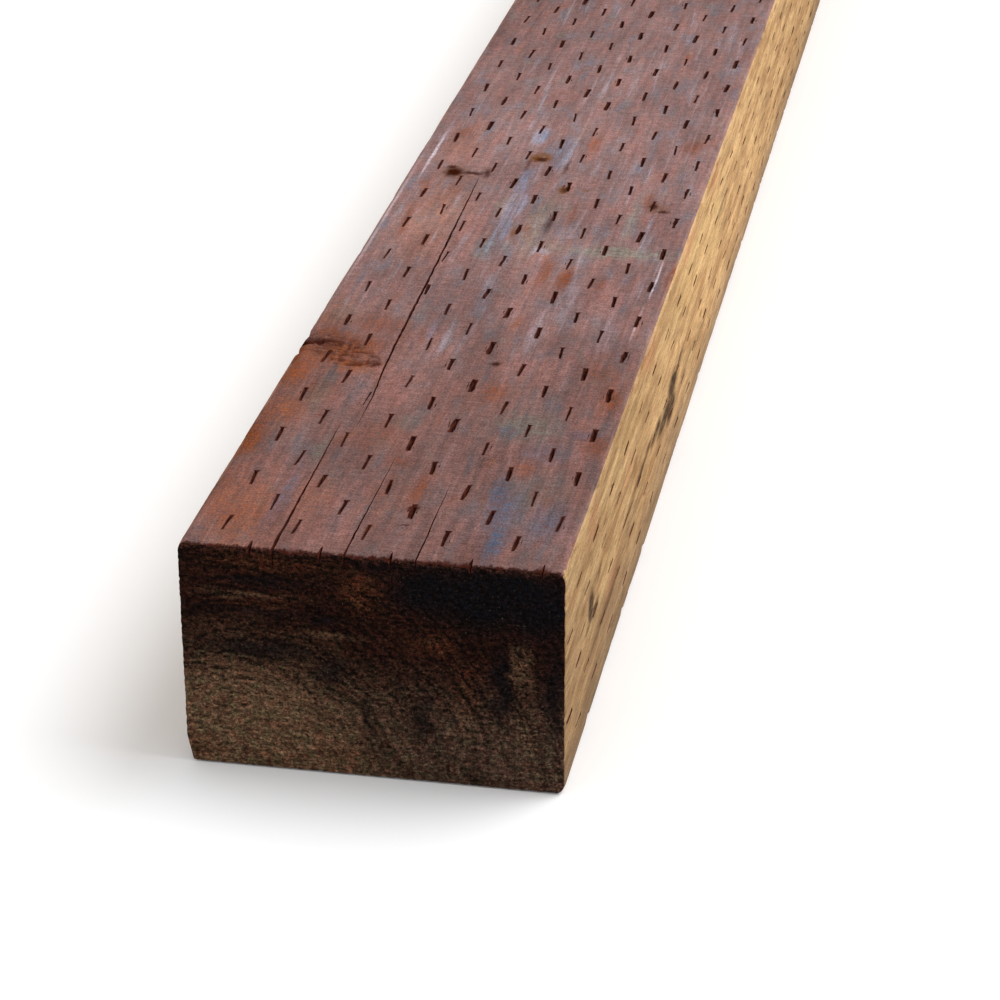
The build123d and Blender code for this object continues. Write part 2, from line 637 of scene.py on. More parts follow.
for face, sources in zip(faces, inside):
    place, along = flat[list(face)].mean(axis=0)
    triangles.append([int(same[i]) for i in face])
    corners.append([skin_chart(*flat[i], along > timber_length / 2) for i in face])
    by_torn_knot = starts[EDGE_TOP_LEFT] < place < starts[TOP] and abs(along - torn_along) < torn_reach
    if sources:
        looks.append(SLIT_LOOK)
    elif by_torn_knot:
        looks.append(TOP_LOOK)
    else:
        looks.append(look_order[int(np.searchsorted(look_ends, place))])

xyz = [tuple(p) for p in skin_xyz]
bruises = list(bruise)

# Points of a sawn end, and how far they keep from its corners, the wear, the checks and the chipped edge
end_gap = 2.1
end_start = 2.2
end_stop = 2.0
end_shake = 0.6
corner_gap = 4.0
wear_gap = (5.0, 3.0)
check_gap = (1.3, 2.0)
chipped_gap = 4.5


def near_end_is_cut(x, z):
    """Whether a place on the near end lies by the worn corner, a check or the chipped edge."""
    by_wear = x < wear_gap[0] - half_width and z < wear_height + wear_gap[1]
    by_check = any(
        abs(x + half_width - c["path"][0][0]) < check_gap[0] and z > timber_height - c["depth"] - check_gap[1]
        for c in end_checks.values()
    )
    return by_wear or by_check or z > timber_height - chipped_gap


def close_end(along, inward, look, chart_at):
    """Closes one end with a sawn face, whose rim is the skin's own border."""
    on_rim = [i for i, (s, v) in enumerate(flat) if abs(v - along) < touching and s < girth - touching]
    rim = sorted(on_rim, key=lambda i: flat[i][0])
    outline = [Vector((xyz[i][0], xyz[i][2])) for i in rim]
    count = len(outline)
    spread = []
    for a in np.arange(end_start - half_width, half_width - end_stop, end_gap):
        for b in np.arange(end_start, timber_height - end_stop, end_gap):
            x = a + drift(end_shake)
            z = b + drift(end_shake)
            if abs(x) > half_width - corner_gap and (z < corner_gap or z > timber_height - corner_gap):
                continue
            if along == 0 and near_end_is_cut(x, z):
                continue
            spread.append(Vector((x, z)))
    loop = list(range(count))[::-1]
    cut, _, tris, ids, _, owners = delaunay_2d_cdt(outline + spread, [], [loop], 0, merging, True)
    index = []
    for p, source in zip(cut, ids):
        if source and min(source) < count:
            index.append(rim[min(source)])
            continue
        saw = saw_depth + sum(deep * cloud(p.x / a, p.y / b, along + seed) for deep, a, b, seed in saw_waves)
        xyz.append((p.x, near_end + along + inward * max(0.0, saw), p.y))
        bruises.append(0.0)
        index.append(len(xyz) - 1)
    chart = [((chart_at + p.x + half_width) / chart_size, (chart_end_row + p.y) / chart_size) for p in cut]
    for tri, sources in zip(tris, owners):
        if not sources:
            continue
        order = list(tri) if inward > 0 else list(tri)[::-1]
        triangles.append([index[i] for i in order])
        corners.append([chart[i] for i in order])
        looks.append(look)
    return rim


near_rim = close_end(0.0, 1, NEAR_LOOK, chart_margin)
far_rim = close_end(timber_length, -1, FAR_LOOK, chart_far_end)

# One closed mesh, kept inside the CAD part's box, with points that no face uses left out
places = np.array(xyz) * MM
places = np.clip(places, np.array(low), np.array(high))
used = np.unique(np.array(triangles))
renumber = np.full(len(places), -1)
renumber[used] = np.arange(len(used))
mesh = bpy.data.meshes.new("treated_timber")
mesh.from_pydata(places[used].tolist(), [], renumber[np.array(triangles)].tolist())
mesh.polygons.foreach_set("material_index", looks)
mesh.polygons.foreach_set("use_smooth", [look != SLIT_LOOK for look in looks])
chart_map = mesh.uv_layers.new(name="OFBake")
chart_map.data.foreach_set("uv", np.array(corners).ravel())
crushed = mesh.attributes.new("crushed", "FLOAT", "POINT")
crushed.data.foreach_set("value", np.array(bruises)[used])
rim_points = {int(renumber[same[i]]) for i in near_rim + far_rim}
sharp = mesh.attributes.new("sharp_edge", "BOOLEAN", "EDGE")
sharp.data.foreach_set("value", [rim_points.issuperset(e.vertices) for e in mesh.edges])
mesh.validate()
mesh.update()
timber = bpy.data.objects.new("treated_timber", mesh)
bpy.context.scene.collection.objects.link(timber)


def tone(red, green, blue):
    """A colour given as it looks on a screen, from 0 to 255."""
    def linear(value):
        value /= 255
        return value / 12.92 if value <= 0.04045 else ((value + 0.055) / 1.055) ** 2.4
    return (linear(red), linear(green), linear(blue), 1.0)


class Nodes:
    """Adds nodes to one tree. A value is a number, a colour or another node's output."""

    def __init__(self, tree):
        self.tree = tree

    def new(self, kind, **settings):
        node = self.tree.nodes.new(kind)
        for name, value in settings.items():
            setattr(node, name, value)
        return node

    def feed(self, socket, value):
        if isinstance(value, bpy.types.NodeSocket):
            self.tree.links.new(value, socket)
        else:
            socket.default_value = value

    def fill(self, node, values):
        for socket, value in zip(node.inputs, values):
            self.feed(socket, value)
        return node.outputs[0]

    def calc(self, operation, *values):
        return self.fill(self.new("ShaderNodeMath", operation=operation), values)

    def plus(self, first, second):
        return self.calc("ADD", first, second)

    def minus(self, first, second):
        return self.calc("SUBTRACT", first, second)

    def times(self, first, *others):
        for other in others:
            first = self.calc("MULTIPLY", first, other)
        return first

    def over(self, first, second):
        return self.calc("DIVIDE", first, second)

    def most(self, first, second):
        return self.calc("MAXIMUM", first, second)

    def vector(self, x, y, z):
        return self.fill(self.new("ShaderNodeCombineXYZ"), (x, y, z))

    def vector_calc(self, operation, *values):
        node = self.new("ShaderNodeVectorMath", operation=operation)
        self.fill(node, values)
        return node.outputs["Value" if operation == "LENGTH" else "Vector"]

    def span(self, value, from_low, from_high, to_low=0.0, to_high=1.0):
        node = self.new("ShaderNodeMapRange", interpolation_type="SMOOTHSTEP")
        return self.fill(node, (value, from_low, from_high, to_low, to_high))

    def noise(self, vector, detail, roughness):
        node = self.new("ShaderNodeTexNoise")
        for name, value in dict(Vector=vector, Scale=1.0, Detail=detail, Roughness=roughness).items():
            self.feed(node.inputs[name], value)
        return node.outputs["Fac"]

    def mix(self, share, first, second, mode="MIX"):
        node = self.new("ShaderNodeMix", data_type="RGBA", blend_type=mode)
        for socket, value in zip((0, 6, 7), (share, first, second)):
            self.feed(node.inputs[socket], value)
        return node.outputs[2]

    def ramp(self, value, stops):
        """A colour that passes through stops, each a value and a colour."""
        node = self.new("ShaderNodeValToRGB")
        self.feed(node.inputs[0], value)
        marks = node.color_ramp.elements
        while len(marks) < len(stops):
            marks.new(1.0)
        for mark, (at, colour) in zip(marks, stops):
            mark.position = at
            mark.color = colour
        return node.outputs[0]

    def group(self, tree, **values):
        node = self.new("ShaderNodeGroup", node_tree=tree)
        for name, value in values.items():
            self.feed(node.inputs[name.replace("_", " ").title()], value)
        return node.outputs


def effect(name, inputs, outputs):
    """A node group with named inputs, each a number or a vector, and number outputs."""
    tree = bpy.data.node_groups.new(name, "ShaderNodeTree")
    for label, start in inputs.items():
        kind = "NodeSocketVector" if isinstance(start, tuple) else "NodeSocketFloat"
        tree.interface.new_socket(label, in_out="INPUT", socket_type=kind).default_value = start
    for label in outputs:
        tree.interface.new_socket(label, in_out="OUTPUT", socket_type="NodeSocketFloat")
    nodes = Nodes(tree)
    return tree, nodes, nodes.new("NodeGroupInput").outputs, nodes.new("NodeGroupOutput").inputs


def scaled_place(n, given, across, along, up):
    """A place for noise, with its own scale across, along and up."""
    scales = {"Across": across, "Along": along, "Up": up}
    return n.vector(*(n.times(given[name], scale) for name, scale in scales.items()))


def stretched_place(n, given, width, length):
    """A place for noise that is drawn out along the timber."""
    return n.vector(
        n.plus(n.over(given["Across"], given[width]), given["Shift"]),
        n.over(given["Along"], given[length]),
        n.over(given["Up"], given[width]),
    )


# Inputs of every effect that follows the place on the timber
timber_place = {"Across": 0, "Along": 0, "Up": 0}

# Streaks and fibres that run along the timber
grain_effect, n, given, put = effect(
    "Wood grain",
    {**timber_place, "Streak Width": 3, "Streak Length": 60, "Shift": 0},
    ("Streak", "Fibre"),
)
n.feed(put["Streak"], n.noise(stretched_place(n, given, "Streak Width", "Streak Length"), 3.0, 0.6))
n.feed(put["Fibre"], n.noise(scaled_place(n, given, 0.9, 0.09, 0.9), 3.0, 0.65))

# One soft-edged oval of stain, damp or knot
patch_effect, n, given, put = effect(
    "Stain patch",
    {"Place": (0, 0, 0), "Centre": (0, 0, 0), "Half Size": (5, 10, 1), "Softness": 0.6, "Strength": 1.0},
    ("Mask",),
)
from_centre = n.vector_calc("SUBTRACT", given["Place"], given["Centre"])
far_off = n.vector_calc("LENGTH", n.vector_calc("DIVIDE", from_centre, given["Half Size"]))
n.feed(put["Mask"], n.span(far_off, n.minus(1.0, given["Softness"]), 1.0, given["Strength"], 0.0))

# Stretched clouds that stand out past a threshold
cloud_effect, n, given, put = effect(
    "Stain clouds",
    {**timber_place, "Width": 12, "Length": 50, "Shift": 0, "Threshold": 0.55, "Softness": 0.15},
    ("Mask",),
)
cloudy = n.noise(stretched_place(n, given, "Width", "Length"), 4.0, 0.62)
n.feed(put["Mask"], n.span(cloudy, given["Threshold"], n.plus(given["Threshold"], given["Softness"])))

# Growth rings round the pith, which lies below the timber near its left side
pith_across = 20.0
pith_down = 11.0
ring_effect, n, given, put = effect(
    "Growth rings", {**timber_place, "Ring Width": 3.4, "Waver": 2.0}, ("Latewood", "Radius")
)
wander = n.minus(n.noise(scaled_place(n, given, 0.05, 0.0035, 0.05), 4.0, 0.6), 0.5)
from_pith_across = n.minus(given["Across"], pith_across - half_width)
from_pith_up = n.plus(given["Up"], pith_down)
squares = n.plus(n.times(from_pith_across, from_pith_across), n.times(from_pith_up, from_pith_up))
radius = n.plus(n.calc("SQRT", squares), n.times(wander, n.times(given["Waver"], 4.0)))
in_ring = n.calc("FRACT", n.over(radius, given["Ring Width"]))
n.feed(put["Latewood"], n.times(n.span(in_ring, 0.2, 0.75), n.span(in_ring, 0.8, 1.0, 1.0, 0.0)))
n.feed(put["Radius"], radius)

# Fine ridges across the grain, left by the planer's knives
ripple_effect, n, given, put = effect(
    "Planer ripple", {"Across": 0, "Along": 0, "Pitch": 1.4, "Shift": 0}, ("Ridge",)
)
ripple_at = n.vector(n.times(given["Across"], 0.12), n.over(given["Along"], given["Pitch"]), given["Shift"])
n.feed(put["Ridge"], n.noise(ripple_at, 3.0, 0.65))

# Pale wood where the eased edges are rubbed, and a painted highlight along the arrises
rub_and_highlight_effect, n, given, put = effect("Edge rub and highlight", timber_place, ("Mask",))
in_from_side = n.minus(half_width, n.calc("ABSOLUTE", given["Across"]))
in_from_face = n.calc("MINIMUM", given["Up"], n.minus(timber_height, given["Up"]))
patchy = n.noise(scaled_place(n, given, 0.2, 0.05, 0.2), 3.0, 0.6)
to_arris = n.plus(n.plus(in_from_side, in_from_face), n.times(n.minus(patchy, 0.5), 1.2))
n.feed(put["Mask"], n.times(n.span(to_arris, 2.7, 1.9), n.span(patchy, 0.38, 0.6)))

# Fine specks of dirt and open pores
speck_effect, n, given, put = effect(
    "Specks", {"First": 0, "Second": 0, "Size": 0.8, "Shift": 0}, ("Speck", "Pore")
)
for speck_name, speck_shift, speck_roughness in (("Speck", 0.0, 0.75), ("Pore", 7.0, 0.7)):
    speck_at = n.vector(
        n.over(given["First"], given["Size"]),
        n.over(given["Second"], given["Size"]),
        n.plus(given["Shift"], speck_shift),
    )
    n.feed(put[speck_name], n.noise(speck_at, 3.0, speck_roughness))

# A coordinate moved about by noise, so that patches get ragged outlines
ragged_effect, n, given, put = effect(
    "Ragged place",
    {"Value": 0, "First": 0, "Second": 0, "First Size": 4, "Second Size": 20, "Shift": 0, "Reach": 8},
    ("Place",),
)
ragged_at = n.vector(
    n.over(given["First"], given["First Size"]), n.over(given["Second"], given["Second Size"]), given["Shift"]
)
shove = n.minus(n.noise(ragged_at, 4.0, 0.65), 0.5)
n.feed(put["Place"], n.plus(given["Value"], n.times(shove, given["Reach"])))

# Range in which most of a noise lies
noise_low = 0.28
noise_high = 0.72


class Coat(Nodes):
    """The nodes of one material, in millimetres, and its colour as it is laid on coat by coat."""

    def __init__(self, name, specular, roughness):
        self.material = bpy.data.materials.new(name)
        self.material.use_nodes = True
        super().__init__(self.material.node_tree)
        self.tree.nodes.clear()
        self.shader = self.new("ShaderNodeBsdfPrincipled")
        self.shader.inputs["Specular IOR Level"].default_value = specular
        self.shader.inputs["Roughness"].default_value = roughness
        self.feed(self.new("ShaderNodeOutputMaterial").inputs["Surface"], self.shader.outputs[0])
        split = self.new("ShaderNodeSeparateXYZ")
        self.feed(split.inputs[0], self.new("ShaderNodeTexCoord").outputs["Object"])
        across, along, up = [self.times(part, 1 / MM) for part in split.outputs]
        self.where = dict(across=across, along=self.minus(along, near_end), up=up)
        self.colour = None

    def lay(self, tint, *masks):
        """Lays a tint over the colour as strongly as the masks, multiplied, say."""
        self.colour = self.mix(self.times(*masks), self.colour, tint)

    def vary(self, value, least, most):
        """Multiplies the colour by a factor that follows a noise value from its low to its high end."""
        factor = self.span(value, noise_low, noise_high, least, most)
        self.colour = self.mix(1.0, self.colour, factor, "MULTIPLY")

    def grain(self, streak_width, streak_length, shift):
        return self.group(
            grain_effect, **self.where, streak_width=streak_width, streak_length=streak_length, shift=shift
        )

    def clouds(self, habits, shift):
        width, length, own_shift, threshold, softness, strength = habits
        mask = self.group(
            cloud_effect, **self.where, width=width, length=length, shift=shift + own_shift,
            threshold=threshold, softness=softness,
        )["Mask"]
        return self.times(mask, strength)

    def specks(self, first, second, size, shift):
        return self.group(speck_effect, first=first, second=second, size=size, shift=shift)

    def ragged(self, value, first, second, shift, sizes, reach):
        return self.group(
            ragged_effect, value=value, first=first, second=second, first_size=sizes[0], second_size=sizes[1],
            shift=shift, reach=reach,
        )["Place"]

    def patches(self, first, second, places):
        """The strongest of several patches, each with its own strength."""
        place = self.vector(first, second, 0.0)
        total = None
        for centre_first, centre_second, half_first, half_second, softness, strength in places:
            mask = self.group(
                patch_effect, place=place, centre=(centre_first, centre_second, 0.0),
                half_size=(half_first, half_second, 1.0), softness=softness, strength=strength,
            )["Mask"]
            total = mask if total is None else self.most(total, mask)
        return total

    def crushed(self):
        """Where the teeth and tearing crushed the wood."""
        return self.new("ShaderNodeAttribute", attribute_name="crushed").outputs["Fac"]

    def finish(self, height, distance):
        """Puts the colour and a fine relief on the shader."""
        bump = self.new("ShaderNodeBump")
        bump.inputs["Strength"].default_value = 1.0
        bump.inputs["Distance"].default_value = distance
        self.feed(bump.inputs["Height"], height)
        self.feed(self.shader.inputs["Normal"], bump.outputs[0])
        self.feed(self.shader.inputs["Base Color"], self.colour)
        return self.material


# Stains and knots of the top face: across from the left edge, along from the near end,
# half sizes, softness and strength
rust_places = (
    (2, 172, 6, 12, 0.9, 1.0), (6, 156, 13, 28, 0.95, 0.75), (3, 92, 11, 24, 0.95, 0.95),
    (26, 208, 20, 15, 0.95, 0.6), (27, 167, 16, 6, 0.9, 0.95), (12, 28, 20, 30, 0.95, 0.45),
    (76, 55, 4, 22, 0.9, 0.75), (87, 148, 8, 15, 0.9, 0.85), (134, 146, 6, 14, 0.9, 0.8),
    (126, 172, 14, 14, 0.95, 0.55), (64, 78, 7, 9, 0.9, 0.6), (52, 100, 16, 24, 0.95, 0.4),
    (110, 80, 10, 12, 0.9, 0.5), (133, 106, 8, 16, 0.9, 0.6), (80, 440, 5, 22, 0.9, 0.75),
    (85, 275, 5, 26, 0.9, 0.8), (94, 270, 5, 16, 0.8, 1.0), (13, 325, 3.5, 30, 0.9, 0.8),
    (12, 372, 3, 20, 0.9, 0.6), (116, 368, 6, 14, 0.9, 0.7), (126, 444, 8, 18, 0.9, 0.7),
    (138, 283, 3, 24, 0.8, 0.9), (16, 445, 5, 14, 0.9, 0.6), (68, 325, 3, 8, 0.9, 0.7),
    (85, 345, 3, 26, 0.95, 0.6), (110, 268, 3, 12, 0.9, 0.6), (24, 183, 16, 16, 0.95, 0.8),
    (12, 194, 14, 9, 0.95, 0.8), (3, 178, 8, 9, 0.9, 0.9),
)
blue_places = (
    (105, 58, 4.2, 28, 0.9, 0.95), (111, 20, 6.5, 22, 0.8, 1.0), (109, 44, 10, 34, 0.95, 0.85),
    (28, 44, 4, 44, 0.95, 0.6), (76, 330, 3.5, 26, 0.95, 0.5), (126, 38, 12, 26, 0.95, 0.6),
    (128, 114, 12, 7, 0.95, 0.55), (98, 112, 8, 8, 0.95, 0.5), (115, 96, 16, 14, 0.95, 0.4),
)
sky_places = (
    (57, 325, 4.6, 46, 0.9, 1.0), (56, 385, 4.4, 30, 0.9, 0.9), (60, 356, 3.4, 26, 0.9, 0.6),
    (67, 425, 5.0, 34, 0.9, 0.8), (54, 448, 5, 18, 0.9, 0.8), (64, 240, 5, 20, 0.95, 0.4),
    (56, 300, 8, 20, 0.95, 0.5), (50, 205, 2.4, 22, 0.95, 0.4),
)
mist_places = (
    (66, 218, 3.4, 34, 0.9, 0.5), (57, 196, 2.6, 30, 0.9, 0.5), (92, 212, 5, 40, 0.95, 0.45),
    (120, 212, 8, 36, 0.95, 0.4), (57, 340, 7, 46, 0.9, 0.8), (53, 448, 6, 20, 0.9, 0.8),
    (70, 425, 6, 36, 0.9, 0.85), (64, 262, 6, 18, 0.9, 0.6), (78, 300, 6, 7, 0.9, 1.0),
    (100, 245, 7, 36, 0.95, 0.45), (104, 402, 5, 20, 0.95, 0.6), (8, 440, 3, 30, 0.95, 0.5),
)
ash_places = (
    (104, 118, 20, 20, 0.8, 1.0), (32, 84, 3.2, 28, 0.85, 0.8), (20, 132, 6, 34, 0.95, 0.6),
    (58, 114, 10, 10, 0.95, 0.6), (12, 215, 9, 15, 0.95, 0.5), (112, 303, 34, 10, 0.8, 1.0),
    (72, 330, 9, 60, 0.95, 0.7), (54, 300, 8, 22, 0.95, 0.8), (112, 345, 4, 40, 0.95, 0.8),
    (112, 340, 5, 26, 0.95, 0.6), (118, 62, 20, 26, 0.95, 0.5), (83, 305, 9, 10, 0.95, 0.6),
)
rose_places = (
    (44, 150, 22, 50, 0.95, 0.5), (100, 30, 20, 30, 0.95, 0.35), (50, 30, 16, 34, 0.95, 0.4),
    (112, 255, 24, 30, 0.95, 0.55), (40, 300, 22, 70, 0.95, 0.5), (124, 350, 12, 40, 0.95, 0.5),
    (100, 175, 26, 24, 0.95, 0.4), (20, 420, 14, 40, 0.95, 0.5),
)
amber_places = (
    (3, 154, 11, 20, 0.9, 0.9), (10, 118, 14, 24, 0.95, 0.85), (3, 88, 10, 20, 0.9, 1.0),
    (18, 136, 12, 22, 0.95, 0.6), (16, 176, 26, 24, 0.95, 0.95), (8, 44, 16, 44, 0.95, 0.5),
    (6, 215, 12, 34, 0.95, 0.6), (26, 164, 18, 12, 0.9, 0.8), (25, 330, 24, 90, 0.95, 0.5),
    (66, 50, 14, 30, 0.95, 0.3), (132, 150, 8, 26, 0.95, 0.5), (18, 428, 14, 40, 0.95, 0.4),
    (20, 22, 20, 60, 0.9, 0.5), (39, 40, 12, 40, 0.95, 0.4),
)
# Pale strips along the top face by its edges: painted sheen
pale_sheen_places = (
    (132.4, 276, 0.8, 30, 0.8, 0.9), (131.2, 226, 0.8, 26, 0.9, 0.6), (7.6, 415, 1.3, 42, 0.9, 0.9),
    (3.0, 330, 1.4, 110, 0.9, 0.5),
)
dark_knots = (
    (22, 391, 6.0, 8.4, 0.7, 1.0), (20, 397, 5.0, 4.4, 0.9, 0.9), (31, 391, 11, 3.6, 0.9, 0.85),
    (37.5, 392, 3.0, 10, 0.9, 0.8), (58.8, 414.6, 4.6, 4.2, 0.8, 0.85), (76, 376, 3.0, 5.0, 0.9, 0.7),
    (82, 175, 3.0, 3.8, 0.8, 0.9), (77, 41, 3.2, 3.4, 0.8, 0.9), (77, 27, 3.6, 1.6, 0.8, 0.7),
    (0.5, 187, 6.0, 4.4, 0.7, 1.0), (8, 186.5, 7.5, 5.0, 0.9, 0.9), (119, 362, 3.0, 6.4, 0.8, 0.85),
    (124, 356, 5.0, 2.6, 0.8, 0.8), (35, 167, 3.2, 5.6, 0.9, 0.8), (54, 407, 1.8, 16, 0.9, 0.6),
    (72, 406, 1.8, 18, 0.9, 0.6), (76.5, 333, 2.4, 20, 0.9, 0.65), (38, 1013, 8, 7, 0.7, 0.95),
    (121, 1322, 7, 6.5, 0.7, 0.9), (17, 1990, 7, 6, 0.7, 0.95), (95, 2204, 8, 7, 0.7, 0.85),
)
brown_knots = (
    (58.4, 417, 7.8, 9.4, 0.6, 1.0), (76, 377, 4.2, 7.4, 0.6, 1.0), (86, 377, 2.4, 3.6, 0.8, 0.7),
    (22, 391, 10, 12, 0.9, 0.7), (63, 320, 2.8, 9, 0.8, 0.75), (121, 360, 6, 10, 0.9, 0.7),
    (101, 742, 11, 9, 0.6, 0.9), (64, 1688, 12, 9, 0.6, 0.9), (38, 1013, 12, 11, 0.8, 0.7),
    (121, 1322, 11, 10, 0.8, 0.7),
)
soot_places = (
    (96, 86, 10, 9, 0.9, 1.0), (22, 182, 20, 18, 0.8, 1.0), (3, 110, 7, 60, 0.9, 0.8),
    (66, 250, 8, 30, 0.9, 0.5), (105, 66, 3, 12, 0.9, 0.8),
)
# Ground colours of the wide faces, from their blue-grey to their rusty streaks. The far set is paler and
# pinker, partly painted sheen
near_hues = (
    (0.3, (106, 96, 99)), (0.42, (115, 93, 91)), (0.5, (121, 90, 85)), (0.58, (127, 92, 87)),
    (0.7, (132, 88, 71)),
)
far_hues_with_sheen = (
    (0.3, (128, 122, 132)), (0.42, (136, 114, 115)), (0.5, (139, 109, 105)), (0.58, (146, 111, 108)),
    (0.7, (146, 101, 86)),
)
# Clouds of stain: width, length, shift, threshold, softness and strength
brown_clouds = (150.0, 330.0, 21.5, 0.4, 0.2, 0.75)
rust_clouds = (6.0, 30.0, 1.5, 0.6, 0.16, 0.5)
blue_clouds = (5.0, 50.0, 7.5, 0.64, 0.16, 0.4)
mist_clouds = (3.6, 70.0, 14.5, 0.54, 0.18, 0.6)
ash_clouds = (9.0, 26.0, 11.5, 0.58, 0.16, 0.5)
rose_clouds = (6.0, 40.0, 17.5, 0.55, 0.18, 0.5)


def wide_face(name, from_left, places, shift):
    """A stained wide face: mauve-brown with rusty, blue-grey, pale and ashen clouds, growing paler towards
    the far part, partly as painted sheen.
    """
    coat = Coat(name, 0.0, 0.75)
    along = coat.where["along"]
    across = coat.where["across"]
    place = coat.plus(across, half_width) if from_left else coat.minus(half_width, across)
    grain = coat.grain(2.2, 36.0, shift)
    broad = coat.grain(8.0, 26.0, shift + 4.0)["Streak"]
    slow = coat.grain(24.0, 60.0, shift + 9.0)["Streak"]
    rings = coat.group(ring_effect, **coat.where, ring_width=3.4, waver=2.2)["Latewood"]
    ripple = coat.group(ripple_effect, across=place, along=along, pitch=1.3, shift=shift)["Ridge"]
    specks = coat.specks(place, along, 0.8, shift)
    blots = coat.specks(place, along, 3.4, shift + 3.0)["Speck"]
    streaky = coat.span(grain["Streak"], 0.34, 0.64, 0.2, 1.0)
    mottle = coat.span(blots, 0.32, 0.62, 0.35, 1.0)

    # The far part gets a paler, pinker ground and paler amber and ash: partly stain, partly painted sheen
    brown_again = coat.clouds(brown_clouds, shift)
    brown_again = coat.times(brown_again, coat.span(along, 430.0, 620.0))
    far_share_with_sheen = coat.minus(coat.span(along, 130.0, 340.0), brown_again)
    hue = coat.plus(coat.times(broad, 0.7), coat.times(grain["Streak"], 0.3))
    near_ground, far_ground = [
        coat.ramp(hue, [(at, tone(*colour)) for at, colour in stops]) for stops in (near_hues, far_hues_with_sheen)
    ]
    coat.colour = coat.mix(far_share_with_sheen, near_ground, far_ground)

    rust = coat.clouds(rust_clouds, shift)
    blue = coat.clouds(blue_clouds, shift)
    mist = coat.clouds(mist_clouds, shift)
    # The pale mist grows stronger towards the far part: partly painted sheen
    mist = coat.times(mist, coat.span(along, 120.0, 320.0, 0.2, 1.0))
    ash = coat.clouds(ash_clouds, shift)
    rose = coat.clouds(rose_clouds, shift)
    dirt = coat.span(specks["Pore"], 0.62, 0.74, 0.0, 0.5)
    if places:
        ragged_across = coat.ragged(place, place, along, 2.7, (4.0, 22.0), 8.0)
        ragged_along = coat.ragged(along, place, along, 8.1, (3.0, 12.0), 22.0)
        rust, blue, mist, ash, rose = [
            coat.most(mask, coat.patches(ragged_across, ragged_along, spots))
            for mask, spots in (
                (rust, rust_places),
                (blue, blue_places),
                (mist, mist_places),
                (ash, ash_places),
                (rose, rose_places),
            )
        ]
        amber, sky, soot = [
            coat.patches(ragged_across, ragged_along, spots)
            for spots in (amber_places, sky_places, soot_places)
        ]
        # Pale strips by the edges of the top face: painted sheen
        pale = coat.patches(coat.ragged(place, place, along, 5.2, (3.0, 30.0), 1.6), along, pale_sheen_places)
        dirt = coat.most(dirt, coat.times(soot, coat.span(specks["Pore"], 0.5, 0.62, 0.0, 0.85)))
        knot_across = coat.ragged(place, place, along, 1.2, (2.2, 3.4), 4.0)
        knot_along = coat.ragged(along, place, along, 6.3, (2.2, 3.4), 5.0)

    coat.lay(tone(156, 110, 104), rose, mottle)
    if places:
        coat.lay(coat.mix(far_share_with_sheen, tone(144, 84, 54), tone(160, 110, 86)), amber, mottle)
    coat.lay(coat.mix(far_share_with_sheen, tone(106, 100, 94), tone(136, 130, 118)), ash, mottle)
    coat.lay(tone(158, 152, 162), mist, streaky)
    coat.lay(tone(82, 91, 108), blue, mottle)
    if places:
        coat.lay(tone(126, 136, 160), sky, streaky)
    coat.lay(tone(132, 72, 42), rust, mottle)
    if places:
        coat.lay(tone(212, 198, 206), pale, coat.span(grain["Fibre"], 0.35, 0.55, 0.4, 1.0))
    coat.lay(tone(96, 60, 50), rings, 0.08)
    coat.vary(slow, 0.82, 1.12)
    coat.vary(grain["Streak"], 0.86, 1.12)
    coat.vary(grain["Fibre"], 1.05, 0.94)
    coat.vary(ripple, 0.88, 1.11)
    coat.vary(blots, 0.84, 1.14)
    coat.vary(specks["Speck"], 0.6, 1.36)
    coat.lay(tone(58, 32, 26), dirt)
    if places:
        coat.lay(tone(112, 70, 34), coat.patches(knot_across, knot_along, brown_knots), mottle)
        coat.lay(tone(52, 20, 7), coat.patches(knot_across, knot_along, dark_knots))
    # Pale arrises: rubbed wood and painted highlight
    coat.lay(tone(190, 150, 128), coat.group(rub_and_highlight_effect, **coat.where)["Mask"], 0.4)
    frayed_along = coat.ragged(along, place, along, 3.9, (2.1, 6.0), 7.5)
    coat.lay(tone(48, 23, 17), coat.span(frayed_along, 1.9, 0.4, 0.0, 0.88))
    coat.lay(tone(60, 22, 14), coat.crushed(), 0.8)
    coat.feed(coat.shader.inputs["Roughness"], coat.span(grain["Streak"], 0.3, 0.7, 0.65, 0.85))
    height = coat.plus(coat.times(ripple, 0.25), coat.times(grain["Fibre"], 0.35))
    return coat.finish(coat.plus(height, coat.times(specks["Speck"], 0.8)), 0.3 * MM)


# Marks of the right side: down from the top edge, along from the near end, half sizes, softness, strength
damp_places = (
    (49.5, 150, 2.6, 24, 0.9, 0.8), (47.5, 185, 2.6, 34, 0.9, 0.9), (46.5, 208, 2.8, 20, 0.9, 0.9),
    (50, 232, 5.0, 24, 0.8, 0.95), (55, 258, 7.0, 32, 0.7, 1.0), (59, 276, 7.0, 20, 0.6, 1.0),
    (50, 280, 8.0, 20, 0.6, 1.0), (47, 300, 3.0, 26, 0.9, 0.85), (42.5, 57, 9.5, 9.0, 0.6, 1.0),
    (48, 66, 4.0, 17, 0.8, 0.95), (38, 76, 3.0, 12, 0.9, 0.75), (48, 50, 3.0, 10, 0.9, 0.7),
    (62, 96, 4.0, 54, 0.95, 0.6), (62, 160, 4.0, 24, 0.95, 0.5), (60, 330, 4, 46, 0.95, 0.5),
    (64, 372, 4.0, 30, 0.95, 0.65),
)
tan_places = (
    (50, 20, 40, 60, 0.95, 0.45), (66, 110, 22, 110, 0.95, 0.7), (70, 260, 18, 120, 0.95, 0.5),
)
